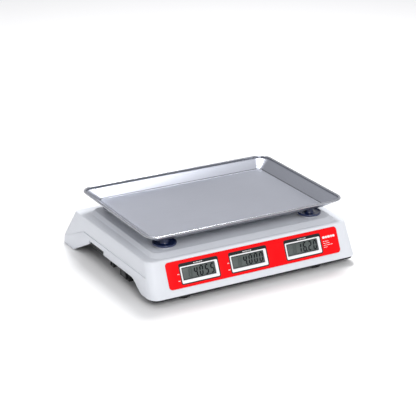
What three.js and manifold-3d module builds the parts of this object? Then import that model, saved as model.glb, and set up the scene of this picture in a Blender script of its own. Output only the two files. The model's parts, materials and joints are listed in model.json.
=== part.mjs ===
// Retail price-computing scale, customer side towards -Y, operator side towards +Y.
// Millimetres, +Z up, origin on the counter under the middle of the body.
import * as THREE from 'three';
import { mergeVertices } from 'three/addons/utils/BufferGeometryUtils.js';
import Module from 'manifold-3d';

const wasm = await Module();
wasm.setup();

// ---------------------------------------------------------------- driving dimensions
const GAP = 0.3;                 // clearance between neighbours that don't move
const WALL = 2.5;                // moulded wall thickness
const BODY_DEPTH = 300;          // customer edge to operator edge
const HALF_DEPTH = BODY_DEPTH / 2;
const SKIRT_Z = 13;              // lower edge of the customer face
const FAR_SKIRT_Z = 1;           // lower edge of the operator end
const TOP_Z = 63.4;              // top border
const FRONT_LEAN = THREE.MathUtils.degToRad(24.4);   // customer face, back from vertical
const PANEL_Z = 12;              // where the operator panel starts
const PANEL_LEAN = THREE.MathUtils.degToRad(35.7);   // operator panel, back from vertical
const HALF_WIDTH = 174;          // at the lower edge of the customer face
const SIDE_DRAFT = 0.079;        // the side walls lean in by this much for each mm of height
const SIDE_FLARE = 0.013;        // and spread by this much for each mm towards the operator
const FRONT_RADIUS = 13;
const BACK_RADIUS = 9;
const CORNER_STEPS = 5;
const EDGE_SOFTEN = 1.4;         // rounding of the top edge
const BAND_STEP = 0.9;           // how far the lower band stands out of the side wall
const MIN_RADIUS = 2;            // smallest corner of an inner outline
const PAST = 60;                 // reach of a cutting solid beyond the body
const OVERSHOOT = 3;             // how far a cut runs past the wall that it opens
const FUSE = 1;                  // how far two solids that become one run into each other

const PLATEAU = { y: -10, halfX: 152, halfY: 103, rise: 5, slopeFront: 10, slopeSide: 5, radius: 12 };
const TRAY_Y = -10;
const POST = { x: 124, y: 82, radius: 6.2, hole: 9, collar: 12.5, collarLow: 66, collarZ: 70.2, foot: 8,
  footHeight: 2, taper: 0.8, pin: 6 };
const CAP = { radius: 18, dishZ: 72.2, dish: 1.6, rim: 1.6, topZ: 83, bore: 3.2, boreDepth: 7, soft: 1.2 };
const TRAY = { halfX: 166, halfY: 118, run: 21.5, bend: 1.6, floorZ: 83.3, sheet: 1, rimZ: 99.8, hem: 1.7,
  radius: 20 };

const ARCH = { z: 28, front: -120, frontTop: -83, back: 56, backFoot: 108 };
const NOTCH = { front: 6, back: 56, low: 18, z: 33.5, width: 60 };
const BAND = { z: 40.5, bend: 76, end: 147, endZ: 10, outY: 170, outZ: 2 };

const PAN = { inset: 3.8, floorZ: 9.5, floor: 2.5, roofZ: 25, rimZ: 31, frontRimZ: 18, backRimZ: 13.4, gripX: 130,
  gripFoot: 94, frontFoot: -118, frontTop: -93, backTop: 68, backFoot: 100 };

const LABEL = { x: 2, halfX: 145.5, low: 10.6, high: 50.2, radius: 5, thick: 0.5, recess: 0.8 };
const WINDOW = { low: 16, high: 40.7, halfX: 30.7, radius: 1.2 };
const GLASS = { low: 20.7, high: 38.7, left: 27.9, right: 26.3, sink: 1.5, radius: 0.8 };
const CUSTOMER_WINDOWS = [-91, -9, 85.2];
const LCD = { margin: 3.2, thick: 4 };

const PANEL = { halfX: 158, low: 4.5, high: 60, lcdLow: 33.5, lcds: [-100, -18, 64] };
const KEYS = { columns: 10, pitch: 19.6, first: -88.2, rows: [11.2, 24], width: 16.4, height: 9.6,
  radius: 1.6, stand: 1.9, flange: 1, flangeThick: 1.1, bevel: 0.5, play: 0.5, labelPlay: 0.4 };
const BOARD = { thick: 1.6, radius: 1.5, customer: [-126, 120, 14, 44], main: [-134, 116, 8, 54] };

const FOOT = { x: 112, front: -122, back: 104, pad: 13, edge: 0.8, disc: 14, padZ: 3.4, discZ: 7.4, stud: 4,
  studZ: 26, studEdge: 1, play: 0.2, socket: 7.5, socketZ: 23, grooves: 12, groove: 1.6 };

const CELL = { length: 130, width: 30, height: 22, z: 18.4, bore: 7, boreX: 15, slot: 6 };
const SPACER = { length: 28, low: 5.6, high: 5.4 };
const SPIDER = { plate: 3, z: 46.7, hubWidth: 108, hubDepth: 68, hubX: 10, arm: 11 };
const BATTERY = { x: 0, y: 62, width: 100, depth: 47, z: 13, height: 43, edge: 1 };
const DOOR = { width: 108, depth: 54, thick: 2, z: 9.7, clearance: 0.5, gripWidth: 22, gripDepth: 5, gripInset: 8,
  gripSink: 1 };
const SWITCH = { x: -160, y: -48, z: 17, width: 30, height: 14.6, depth: 15, wall: 2, slot: 24, slotX: -158 };
const ROCKER = { pivotX: -163.5, halfY: 11.4, halfZ: 4.6, back: 1.7, pressed: 4.2, ridge: 5.8, raised: 7.8 };
const INLET = { x: -162, y: -6, z: 18.4, side: 11, depth: 12, hole: 3, wall: 3, pin: 1 };
const LEVEL = { x: 0, y: -62, radius: 8, height: 7.5, hole: 6.2, rise: 0.9, edge: 0.4, dome: 0.8 };

const frontY = (z) => -HALF_DEPTH + (z - SKIRT_Z) * Math.tan(FRONT_LEAN);
const backY = (z) => HALF_DEPTH - Math.max(0, z - PANEL_Z) * Math.tan(PANEL_LEAN);
const halfWidth = (y, z) => HALF_WIDTH + SIDE_FLARE * (y + HALF_DEPTH) - SIDE_DRAFT * (z - SKIRT_Z);

// ---------------------------------------------------------------- solid helpers
function solidOf(geometry) {
  const bare = geometry.index ? geometry.toNonIndexed() : geometry.clone();
  for (const name of Object.keys(bare.attributes)) {
    if (name !== 'position') bare.deleteAttribute(name);
  }
  const merged = mergeVertices(bare, 1e-4);
  const mesh = new wasm.Mesh({
    numProp: 3,
    vertProperties: new Float32Array(merged.attributes.position.array),
    triVerts: new Uint32Array(merged.index.array),
  });
  return new wasm.Manifold(mesh);
}

function geometryOf(solid) {
  const mesh = solid.getMesh();
  const geometry = new THREE.BufferGeometry();
  geometry.setAttribute('position', new THREE.BufferAttribute(Float32Array.from(mesh.vertProperties), 3));
  geometry.setIndex(Array.from(mesh.triVerts));
  return geometry;
}

const join = (first, ...others) => others.reduce((total, part) => total.add(part), first);
const cut = (first, ...others) => others.reduce((total, part) => total.subtract(part), first);

function box(width, depth, height, x, y, z) {
  // centred on x and y, standing on z
  return new THREE.BoxGeometry(width, depth, height).translate(x, y, z + height / 2);
}

function disc(radius, low, high, x, y, sides = 24) {
  const upright = new THREE.CylinderGeometry(radius, radius, high - low, sides).rotateX(Math.PI / 2);
  return upright.translate(x, y, (low + high) / 2);
}

function crossDisc(radius, low, high, y, z, sides = 20) {
  // a cylinder along X from low to high
  const lying = new THREE.CylinderGeometry(radius, radius, high - low, sides).rotateZ(Math.PI / 2);
  return lying.translate((low + high) / 2, y, z);
}

function turned(points, sides = 28) {
  // a lathe solid about +Z from [radius, z] pairs that start and end on the axis
  const outline = points.map(([radius, z]) => new THREE.Vector2(radius, z));
  return new THREE.LatheGeometry(outline, sides).rotateX(Math.PI / 2);
}

function roundedShape(left, right, low, high, radius) {
  const shape = new THREE.Shape();
  shape.moveTo(left + radius, low);
  shape.lineTo(right - radius, low);
  shape.absarc(right - radius, low + radius, radius, -Math.PI / 2, 0);
  shape.lineTo(right, high - radius);
  shape.absarc(right - radius, high - radius, radius, 0, Math.PI / 2);
  shape.lineTo(left + radius, high);
  shape.absarc(left + radius, high - radius, radius, Math.PI / 2, Math.PI);
  shape.lineTo(left, low + radius);
  shape.absarc(left + radius, low + radius, radius, Math.PI, Math.PI * 1.5);
  return shape;
}

function slab(shape, low, high, curveSegments = 4) {
  const settings = { depth: high - low, bevelEnabled: false, curveSegments };
  return new THREE.ExtrudeGeometry(shape, settings).translate(0, 0, low);
}

function sideways(shape, left, right) {
  // a shape drawn in (y, z), extruded along X from left to right
  const turn = new THREE.Matrix4().makeBasis(
    new THREE.Vector3(0, 1, 0), new THREE.Vector3(0, 0, 1), new THREE.Vector3(1, 0, 0));
  return slab(shape, left, right, 8).applyMatrix4(turn);
}

function ring({ z, front, back, frontHalf, backHalf, frontRadius, backRadius }) {
  // one rounded outline at height z, anticlockwise seen from above
  const corners = [
    [frontHalf - frontRadius, front + frontRadius, frontRadius, -90],
    [backHalf - backRadius, back - backRadius, backRadius, 0],
    [-backHalf + backRadius, back - backRadius, backRadius, 90],
    [-frontHalf + frontRadius, front + frontRadius, frontRadius, 180],
  ];
  const points = [];
  for (const [x, y, radius, start] of corners) {
    for (let step = 0; step <= CORNER_STEPS; step += 1) {
      const angle = THREE.MathUtils.degToRad(start + (90 * step) / CORNER_STEPS);
      points.push(new THREE.Vector3(x + radius * Math.cos(angle), y + radius * Math.sin(angle), z));
    }
  }
  return points;
}

function loft(rings) {
  // skins a stack of outlines and caps both ends
  const count = rings[0].length;
  const vertices = rings.flat();
  const faces = [];
  const top = (rings.length - 1) * count;
  for (let lower = 0; lower < top; lower += count) {
    const upper = lower + count;
    for (let i = 0; i < count; i += 1) {
      const next = (i + 1) % count;
      faces.push(lower + i, lower + next, upper + next, lower + i, upper + next, upper + i);
    }
  }
  for (let i = 1; i < count - 1; i += 1) {
    faces.push(0, i + 1, i);
    faces.push(top, top + i, top + i + 1);
  }
  const geometry = new THREE.BufferGeometry();
  geometry.setAttribute('position', new THREE.Float32BufferAttribute(vertices.flatMap((p) => p.toArray()), 3));
  geometry.setIndex(faces);
  return geometry;
}

// ---------------------------------------------------------------- the two sloping faces
// customer face: x to the right, y up the slope from the lower edge, z out of the face
const customerFace = new THREE.Matrix4()
  .makeTranslation(0, -HALF_DEPTH, SKIRT_Z)
  .multiply(new THREE.Matrix4().makeRotationX(Math.PI / 2 - FRONT_LEAN));
// operator face: the same, seen by the operator on the other side
const operatorFace = new THREE.Matrix4()
  .makeTranslation(0, HALF_DEPTH, PANEL_Z)
  .multiply(new THREE.Matrix4().makeRotationZ(Math.PI))
  .multiply(new THREE.Matrix4().makeRotationX(Math.PI / 2 - PANEL_LEAN));

const onFace = (face, geometry) => solidOf(geometry.clone().applyMatrix4(face));

// ---------------------------------------------------------------- body outline
function bodyRing(z, inset, spread = 0) {
  const front = frontY(z) + inset;
  const back = backY(z) - inset;
  return ring({
    z,
    front,
    back,
    frontHalf: halfWidth(front, z) - inset + spread,
    backHalf: halfWidth(back, z) - inset + spread,
    frontRadius: Math.max(FRONT_RADIUS - inset, MIN_RADIUS),
    backRadius: Math.max(BACK_RADIUS - inset, MIN_RADIUS),
  });
}

function plateauRing(z, growFront, growSide, inset) {
  const radius = PLATEAU.radius + growSide - inset;
  return ring({
    z,
    front: PLATEAU.y - PLATEAU.halfY - growFront + inset,
    back: PLATEAU.y + PLATEAU.halfY + growSide - inset,
    frontHalf: PLATEAU.halfX + growSide - inset,
    backHalf: PLATEAU.halfX + growSide - inset,
    frontRadius: radius,
    backRadius: radius,
  });
}

function plateau(inset, low, high) {
  // low sinks it into the body below, so that the two fuse
  return solidOf(loft([
    plateauRing(low, PLATEAU.slopeFront, PLATEAU.slopeSide, inset),
    plateauRing(TOP_Z - inset, PLATEAU.slopeFront, PLATEAU.slopeSide, inset),
    plateauRing(high, 0, 0, inset),
  ]));
}

function underShape() {
  // everything below the skirt's lower edge, seen from the side
  const past = HALF_DEPTH + PAST;
  const shape = new THREE.Shape();
  shape.moveTo(-past, -PAST);
  shape.lineTo(past, -PAST);
  shape.lineTo(past, FAR_SKIRT_Z);
  shape.lineTo(ARCH.backFoot, FAR_SKIRT_Z);
  shape.lineTo(ARCH.back, ARCH.z);
  shape.lineTo(ARCH.frontTop, ARCH.z);
  shape.bezierCurveTo(ARCH.frontTop - 12, ARCH.z, ARCH.front + 14, SKIRT_Z + 2, ARCH.front, SKIRT_Z);
  shape.lineTo(-past, SKIRT_Z);
  return shape;
}

function bandShape() {
  // the area of side wall that stands out: everything under the character line
  const shape = new THREE.Shape();
  shape.moveTo(-BAND.outY, 0);
  shape.lineTo(BAND.outY, 0);
  shape.lineTo(BAND.outY, BAND.outZ);
  shape.lineTo(BAND.end, BAND.endZ);
  shape.lineTo(BAND.bend, BAND.z);
  shape.lineTo(-BAND.outY, BAND.z);
  return shape;
}

function acrossBody(shape) {
  // a solid of a (y, z) shape that runs past both sides of the body
  const reach = HALF_WIDTH + PAST;
  return solidOf(sideways(shape, -reach, reach));
}

// ---------------------------------------------------------------- top housing
function housingOutside() {
  const plain = [FAR_SKIRT_Z - FUSE, PANEL_Z, TOP_Z - EDGE_SOFTEN].map((z) => bodyRing(z, 0));
  const core = solidOf(loft([...plain, bodyRing(TOP_Z - EDGE_SOFTEN / 3, EDGE_SOFTEN / 3),
    bodyRing(TOP_Z, EDGE_SOFTEN)]));
  const wide = solidOf(loft([FAR_SKIRT_Z - FUSE, PANEL_Z, BAND.z + FUSE].map((z) => bodyRing(z, 0, BAND_STEP))));
  const band = wide.intersect(acrossBody(bandShape()));
  return join(core, band, plateau(0, TOP_Z - 2 * FUSE, TOP_Z + PLATEAU.rise));
}

function housingInside() {
  const room = solidOf(loft([-PAST, PANEL_Z, TOP_Z - WALL].map((z) => bodyRing(z, WALL))));
  return join(room, plateau(WALL, TOP_Z - WALL - 2 * FUSE, TOP_Z + PLATEAU.rise - WALL));
}

function postPlaces() {
  return [[-1, -1], [1, -1], [-1, 1], [1, 1]].map(([sx, sy]) => [sx * POST.x, TRAY_Y + sy * POST.y]);
}

function windowCuts(face, places, low) {
  // the opening for the display in each window
  return places.map((x) => {
    const opening = glassShape(x, low, 0);
    return onFace(face, slab(opening, -WALL - OVERSHOOT, OVERSHOOT, 2));
  });
}

function labelShape(halfX, centre, low, high, grow) {
  return roundedShape(centre - halfX - grow, centre + halfX + grow, low - grow, high + grow, LABEL.radius + grow);
}

function keyPlaces() {
  const places = [];
  KEYS.rows.forEach((y, row) => {
    for (let column = 0; column < KEYS.columns; column += 1) {
      places.push({ name: `key_${row + 1}_${column + 1}`, x: KEYS.first + column * KEYS.pitch, y });
    }
  });
  return places;
}

function keyHole(key, grow) {
  return roundedShape(key.x - KEYS.width / 2 - grow, key.x + KEYS.width / 2 + grow,
    key.y - KEYS.height / 2 - grow, key.y + KEYS.height / 2 + grow, KEYS.radius + grow);
}

function makeHousing() {
  const cuts = [acrossBody(underShape())];
  const notch = box(NOTCH.width, NOTCH.back - NOTCH.front, NOTCH.z - NOTCH.low, -HALF_WIDTH,
    (NOTCH.front + NOTCH.back) / 2, NOTCH.low);
  cuts.push(solidOf(notch));
  const customerRecess = labelShape(LABEL.halfX, LABEL.x, LABEL.low, LABEL.high, GAP);
  const operatorRecess = labelShape(PANEL.halfX, 0, PANEL.low, PANEL.high, GAP);
  cuts.push(onFace(customerFace, slab(customerRecess, -LABEL.recess, OVERSHOOT)));
  cuts.push(...windowCuts(customerFace, CUSTOMER_WINDOWS, WINDOW.low));
  cuts.push(onFace(operatorFace, slab(operatorRecess, -LABEL.recess, OVERSHOOT)));
  cuts.push(...windowCuts(operatorFace, PANEL.lcds, PANEL.lcdLow));
  for (const key of keyPlaces()) {
    cuts.push(onFace(operatorFace, slab(keyHole(key, KEYS.play), -WALL - OVERSHOOT, OVERSHOOT, 1)));
  }
  const under = TOP_Z - WALL - OVERSHOOT;
  for (const [x, y] of postPlaces()) {
    cuts.push(solidOf(disc(POST.hole, under, POST.collarZ + OVERSHOOT, x, y)));
  }
  const over = TOP_Z + PLATEAU.rise + OVERSHOOT;
  cuts.push(solidOf(disc(LEVEL.radius + GAP, under, over, LEVEL.x, LEVEL.y)));
  const collars = postPlaces().map(([x, y]) => solidOf(disc(POST.collar, POST.collarLow, POST.collarZ, x, y)));
  const shell = cut(housingOutside(), housingInside());
  return geometryOf(cut(join(shell, ...collars), ...cuts));
}

// ---------------------------------------------------------------- base pan
function panRimShape() {
  // the pan's walls stand tall along the hand grips and low at the two displays
  const past = HALF_DEPTH + PAST;
  const shape = new THREE.Shape();
  shape.moveTo(-past, 0);
  shape.lineTo(past, 0);
  shape.lineTo(past, PAN.backRimZ);
  shape.lineTo(PAN.backFoot, PAN.backRimZ);
  shape.lineTo(PAN.backTop, PAN.rimZ);
  shape.lineTo(PAN.frontTop, PAN.rimZ);
  shape.lineTo(PAN.frontFoot, PAN.frontRimZ);
  shape.lineTo(-past, PAN.frontRimZ);
  return shape;
}

function handGrips(grow) {
  // the space for the fingers under each side, seen as a solid
  const bottom = PAN.floorZ - FUSE;
  const shape = new THREE.Shape();
  shape.moveTo(ARCH.front - grow, bottom);
  shape.lineTo(PAN.gripFoot + grow, bottom);
  shape.lineTo(ARCH.back + grow / 2, PAN.roofZ + grow);
  shape.lineTo(ARCH.frontTop - grow / 2, PAN.roofZ + grow);
  const inner = PAN.gripX - grow;
  const outer = HALF_WIDTH + PAST;
  return [[-outer, -inner], [inner, outer]].map(([left, right]) => solidOf(sideways(shape, left, right)));
}

function makePan() {
  const outer = solidOf(loft([PAN.floorZ, PANEL_Z, PAN.rimZ].map((z) => bodyRing(z, PAN.inset))));
  const room = [PAN.floorZ + PAN.floor, PAN.rimZ + FUSE].map((z) => bodyRing(z, PAN.inset + PAN.floor));
  const hollow = cut(solidOf(loft(room)), ...handGrips(PAN.floor));
  const pan = cut(outer, hollow, ...handGrips(0)).intersect(acrossBody(panRimShape()));
  const sockets = footPlaces().map(([, x, y]) => solidOf(disc(FOOT.socket, PAN.floorZ, FOOT.socketZ, x, y, 18)));
  const studHoles = footPlaces().map(([, x, y]) => solidOf(disc(FOOT.stud + FOOT.play, 0, TOP_Z, x, y, 18)));
  const through = PAN.floor + 2 * OVERSHOOT;
  const doorHole = box(DOOR.width, DOOR.depth, through, BATTERY.x, BATTERY.y, PAN.floorZ - OVERSHOOT);
  const switchSlot = box(SWITCH.depth, SWITCH.slot, through, SWITCH.slotX, SWITCH.y, PAN.roofZ - OVERSHOOT);
  return geometryOf(cut(join(pan, ...sockets), ...studHoles, solidOf(doorHole), solidOf(switchSlot)));
}

function makeDoor() {
  const width = DOOR.width - 2 * DOOR.clearance;
  const depth = DOOR.depth - 2 * DOOR.clearance;
  const plate = solidOf(box(width, depth, DOOR.thick, BATTERY.x, BATTERY.y, DOOR.z));
  const grip = box(DOOR.gripWidth, DOOR.gripDepth, 2 * DOOR.gripSink, BATTERY.x,
    BATTERY.y + depth / 2 - DOOR.gripInset, DOOR.z - DOOR.gripSink);
  return geometryOf(cut(plate, solidOf(grip)));
}

// ---------------------------------------------------------------- levelling feet
function footPlaces() {
  return [
    ['front_left', -FOOT.x, FOOT.front],
    ['front_right', FOOT.x, FOOT.front],
    ['back_left', -FOOT.x, FOOT.back],
    ['back_right', FOOT.x, FOOT.back],
  ];
}

function makeFootPad() {
  const { pad, edge, padZ } = FOOT;
  return turned([[0, 0], [pad - edge, 0], [pad, edge], [pad, padZ], [0, padZ]], 20);
}

function makeFootScrew() {
  const { disc: wheel, discZ, stud, studZ, studEdge } = FOOT;
  const low = FOOT.padZ + GAP;
  const grooves = [];
  for (let i = 0; i < FOOT.grooves; i += 1) {
    const angle = (2 * Math.PI * i) / FOOT.grooves;
    const x = wheel * Math.cos(angle);
    const y = wheel * Math.sin(angle);
    grooves.push(solidOf(disc(FOOT.groove, low - FUSE, discZ + FUSE, x, y, 4)));
  }
  const body = turned([[0, low], [wheel, low], [wheel, discZ], [stud, discZ], [stud, studZ - studEdge],
    [stud - studEdge, studZ], [0, studZ]], 20);
  return geometryOf(cut(solidOf(body), ...grooves));
}

// ---------------------------------------------------------------- load cell and platform
function makeCell() {
  const bar = solidOf(box(CELL.length, CELL.width, CELL.height, 0, TRAY_Y, CELL.z));
  const middle = CELL.z + CELL.height / 2;
  const through = CELL.width + 2 * OVERSHOOT;
  const bores = [-CELL.boreX, CELL.boreX].map((x) => {
    const bore = new THREE.CylinderGeometry(CELL.bore, CELL.bore, through, 20);
    return solidOf(bore.translate(x, TRAY_Y, middle));
  });
  const slot = solidOf(box(2 * CELL.boreX, through, CELL.slot, 0, TRAY_Y, middle - CELL.slot / 2));
  return geometryOf(cut(bar, ...bores, slot));
}

function makeSpacer(low, height, x) {
  return box(SPACER.length, CELL.width, height, x, TRAY_Y, low);
}

function makeSpider() {
  const low = SPIDER.z;
  const hub = solidOf(box(SPIDER.hubWidth, SPIDER.hubDepth, SPIDER.plate, SPIDER.hubX, TRAY_Y, low));
  const arms = postPlaces().map(([x, y]) => {
    const reach = Math.hypot(x, y - TRAY_Y);
    const arm = new THREE.BoxGeometry(reach, 2 * SPIDER.arm, SPIDER.plate).translate(reach / 2, 0, 0);
    arm.rotateZ(Math.atan2(y - TRAY_Y, x)).translate(0, TRAY_Y, low + SPIDER.plate / 2);
    return solidOf(arm);
  });
  const ends = postPlaces().map(([x, y]) => solidOf(disc(SPIDER.arm, low, low + SPIDER.plate, x, y)));
  return geometryOf(join(hub, ...arms, ...ends));
}

function makePost() {
  const { radius, foot, footHeight, taper, pin } = POST;
  const low = SPIDER.z + SPIDER.plate + GAP;
  const shoulder = low + footHeight;
  const top = CAP.dishZ - GAP;
  const pinRadius = CAP.bore - GAP;
  return turned([[0, low], [foot, low], [foot, shoulder], [radius, shoulder + taper], [radius, top],
    [pinRadius, top], [pinRadius, top + pin], [0, top + pin]], 16);
}

function makeCap() {
  const { dishZ, dish, rim, radius, topZ, bore, boreDepth, soft } = CAP;
  const floor = dishZ + dish;
  const boss = POST.radius;
  return turned([[0, dishZ + boreDepth], [bore, dishZ + boreDepth], [bore, dishZ], [radius - soft, dishZ],
    [radius, dishZ + soft], [radius, floor + rim], [radius - soft, floor + rim], [radius - rim - soft / 2, floor],
    [boss + soft, floor], [boss, floor + soft], [boss, topZ - soft], [boss - soft, topZ], [0, topZ]], 24);
}

// ---------------------------------------------------------------- tray
function makeTray() {
  const { halfX, halfY, run, bend, floorZ, sheet, rimZ, hem, radius } = TRAY;
  const level = (z, inset) => ring({
    z,
    front: TRAY_Y - halfY + inset,
    back: TRAY_Y + halfY - inset,
    frontHalf: halfX - inset,
    backHalf: halfX - inset,
    frontRadius: Math.max(radius - inset, MIN_RADIUS * 2),
    backRadius: Math.max(radius - inset, MIN_RADIUS * 2),
  });
  // from under the floor, up the outside, round the rolled hem, and down the inside to the floor
  const section = [level(floorZ, run + bend), level(floorZ + bend / 2, run)];
  for (let turn = -30; turn <= 210; turn += 30) {
    const angle = THREE.MathUtils.degToRad(turn);
    section.push(level(rimZ - hem + hem * Math.sin(angle), hem - hem * Math.cos(angle)));
  }
  section.push(level(floorZ + sheet + bend / 2, run + sheet), level(floorZ + sheet, run + sheet + bend));
  return loft(section);
}

// ---------------------------------------------------------------- displays, labels and keys
function makeLabel(halfX, centre, low, high, windows, windowLow, holes) {
  const shape = labelShape(halfX, centre, low, high, 0);
  const lift = windowLow - WINDOW.low;
  for (const x of windows) {
    shape.holes.push(roundedShape(x - WINDOW.halfX, x + WINDOW.halfX, WINDOW.low + lift, WINDOW.high + lift,
      WINDOW.radius));
  }
  shape.holes.push(...holes);
  const floor = GAP - LABEL.recess;
  return slab(shape, floor, floor + LABEL.thick, 1);
}

function glassShape(x, low, grow) {
  const lift = low - WINDOW.low;
  return roundedShape(x - GLASS.left - grow, x + GLASS.right + grow, GLASS.low + lift - grow,
    GLASS.high + lift + grow, Math.max(GLASS.radius + grow, GLASS.radius / 2));
}

function makeDisplay(x, low) {
  // a module behind the wall, with its face stepped forward into the opening
  const back = -WALL - GAP;
  const face = slab(glassShape(x, low, -GAP), back - FUSE, -GLASS.sink, 2);
  const module = slab(glassShape(x, low, LCD.margin), back - LCD.thick, back, 2);
  return geometryOf(join(solidOf(face), solidOf(module)));
}

function makeKey(key) {
  const { flange, flangeThick, stand, bevel } = KEYS;
  const under = -WALL - GAP;
  const stem = new THREE.ExtrudeGeometry(keyHole(key, -bevel), { depth: stand - under - bevel, bevelEnabled: true,
    bevelThickness: bevel, bevelSize: bevel, bevelSegments: 1, curveSegments: 1 });
  stem.translate(0, 0, under);
  const skirt = slab(keyHole(key, flange), under - flangeThick, under, 1);
  return geometryOf(join(solidOf(stem), solidOf(skirt)));
}

function makeBoard([left, right, low, high], depth) {
  return slab(roundedShape(left, right, low, high, BOARD.radius), -depth - BOARD.thick, -depth, 2);
}

// ---------------------------------------------------------------- switch, inlet, battery, level
function makeSwitchBezel() {
  const { x, y, z, width, height, depth, wall } = SWITCH;
  const body = solidOf(box(depth, width, height, x, y, z - height / 2));
  const pocket = solidOf(box(depth, width - 2 * wall, height - 2 * wall, x - wall, y, z - height / 2 + wall));
  return geometryOf(cut(body, pocket));
}

function makeRocker() {
  // a bent paddle drawn in (y, distance out of the pivot): two flat faces that meet over the pivot
  const { halfY, halfZ, back, pressed, ridge, raised } = ROCKER;
  const shape = new THREE.Shape();
  shape.moveTo(-halfY, -back);
  shape.lineTo(halfY, -back);
  shape.lineTo(halfY, -pressed);
  shape.lineTo(0, -ridge);
  shape.lineTo(-halfY, -raised);
  const turn = new THREE.Matrix4().makeBasis(
    new THREE.Vector3(0, 1, 0), new THREE.Vector3(1, 0, 0), new THREE.Vector3(0, 0, -1));
  const paddle = slab(shape, -halfZ, halfZ).applyMatrix4(turn);
  return paddle.translate(ROCKER.pivotX, SWITCH.y, SWITCH.z);
}

function makeInlet() {
  const { x, y, z, side, depth, hole, wall, pin } = INLET;
  const body = solidOf(box(depth, side, side, x, y, z - side / 2));
  const mouth = x - depth / 2;
  const bottom = mouth + depth - wall;
  const socket = solidOf(crossDisc(hole, mouth - OVERSHOOT, bottom, y, z));
  const contact = solidOf(crossDisc(pin, mouth + pin, bottom + FUSE, y, z, 10));
  return geometryOf(join(cut(body, socket), contact));
}

function makeBattery() {
  const { x, y, width, depth, z, height, edge } = BATTERY;
  const outline = roundedShape(-width / 2 + edge, width / 2 - edge, -depth / 2 + edge, depth / 2 - edge, 2 * edge);
  const block = new THREE.ExtrudeGeometry(outline, { depth: height - 2 * edge, bevelEnabled: true,
    bevelThickness: edge, bevelSize: edge, bevelSegments: 1, curveSegments: 2 });
  return block.translate(x, y, z + edge);
}

function makeLevel() {
  const { radius, height, hole, rise, edge, dome } = LEVEL;
  const top = TOP_Z + PLATEAU.rise;
  const rim = top + rise;
  return turned([[0, top - height], [radius, top - height], [radius, rim - edge], [radius - edge, rim],
    [hole + edge, rim], [hole, rim - edge], [hole, top - dome], [hole / 2, top - dome / 4], [0, top]], 24);
}

// ---------------------------------------------------------------- assembly
const FINISH = {
  white: { color: 0xe9ecef, roughness: 0.45, metalness: 0 },
  black: { color: 0x2a2c2f, roughness: 0.6, metalness: 0 },
  blue: { color: 0x15305a, roughness: 0.35, metalness: 0 },
  steel: { color: 0xb9bdc4, roughness: 0.25, metalness: 0.9 },
  zinc: { color: 0x9aa0a6, roughness: 0.4, metalness: 0.8 },
  alloy: { color: 0xc3c7cc, roughness: 0.45, metalness: 0.85 },
  red: { color: 0xf0142a, roughness: 0.35, metalness: 0 },
  display: { color: 0x6c746c, roughness: 0.2, metalness: 0 },
  board: { color: 0x1e5a36, roughness: 0.5, metalness: 0 },
  key: { color: 0xdfe2e5, roughness: 0.5, metalness: 0 },
  cell: { color: 0x3a3d44, roughness: 0.5, metalness: 0 },
  rubber: { color: 0x202124, roughness: 0.85, metalness: 0 },
  fluid: { color: 0xa8c63a, roughness: 0.15, metalness: 0 },
};

const scale = new THREE.Group();
const faces = { customer: new THREE.Group(), operator: new THREE.Group() };
faces.customer.applyMatrix4(customerFace);
faces.operator.applyMatrix4(operatorFace);
scale.add(faces.customer, faces.operator);

function place(name, geometry, finish, parent = scale, position = [0, 0, 0]) {
  const mesh = new THREE.Mesh(geometry, new THREE.MeshStandardMaterial(FINISH[finish]));
  mesh.name = name;
  mesh.position.set(...position);
  parent.add(mesh);
}

place('base_pan', makePan(), 'black');
place('top_housing', makeHousing(), 'white');
place('battery_door', makeDoor(), 'black');
place('battery', makeBattery(), 'cell');
place('load_cell', makeCell(), 'alloy');
const cellEnd = CELL.length / 2 - SPACER.length / 2;
place('cell_base_spacer', makeSpacer(PAN.floorZ + PAN.floor + GAP, SPACER.low, -cellEnd), 'zinc');
place('cell_top_spacer', makeSpacer(CELL.z + CELL.height + GAP, SPACER.high, cellEnd), 'zinc');
place('platform_spider', makeSpider(), 'zinc');
place('level_vial', makeLevel(), 'fluid', scale, [LEVEL.x, LEVEL.y, 0]);
place('power_switch_bezel', makeSwitchBezel(), 'black');
place('power_switch_rocker', makeRocker(), 'black');
place('power_inlet', makeInlet(), 'black');
place('tray', makeTray(), 'steel');

const corners = ['front_left', 'front_right', 'back_left', 'back_right'];
postPlaces().forEach(([x, y], index) => {
  place(`support_post_${corners[index]}`, makePost(), 'zinc', scale, [x, y, 0]);
  place(`support_cap_${corners[index]}`, makeCap(), 'blue', scale, [x, y, 0]);
});
for (const [name, x, y] of footPlaces()) {
  place(`foot_pad_${name}`, makeFootPad(), 'rubber', scale, [x, y, 0]);
  place(`foot_screw_${name}`, makeFootScrew(), 'black', scale, [x, y, 0]);
}

place('customer_label', makeLabel(LABEL.halfX, LABEL.x, LABEL.low, LABEL.high, CUSTOMER_WINDOWS, WINDOW.low, []),
  'red', faces.customer);
place('operator_label', makeLabel(PANEL.halfX, 0, PANEL.low, PANEL.high, PANEL.lcds, PANEL.lcdLow,
  keyPlaces().map((key) => keyHole(key, KEYS.labelPlay))), 'red', faces.operator);
CUSTOMER_WINDOWS.forEach((x, index) => {
  place(`customer_display_${index + 1}`, makeDisplay(x, WINDOW.low), 'display', faces.customer);
});
PANEL.lcds.forEach((x, index) => {
  place(`operator_display_${index + 1}`, makeDisplay(x, PANEL.lcdLow), 'display', faces.operator);
});
const behindDisplays = WALL + GAP + LCD.thick + GAP;
place('customer_board', makeBoard(BOARD.customer, behindDisplays), 'board', faces.customer);
place('main_board', makeBoard(BOARD.main, behindDisplays), 'board', faces.operator);
for (const key of keyPlaces()) {
  place(key.name, makeKey(key), 'key', faces.operator);
}

export default scale;
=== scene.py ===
"""Looks of a retail price scale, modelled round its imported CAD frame.

Pieces are modelled in millimetres and finished in metres, in the CAD's own frame: the customer
stands on the -Y side, the operator on the +Y side, and +Z is up.
"""
import json
import math

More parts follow.
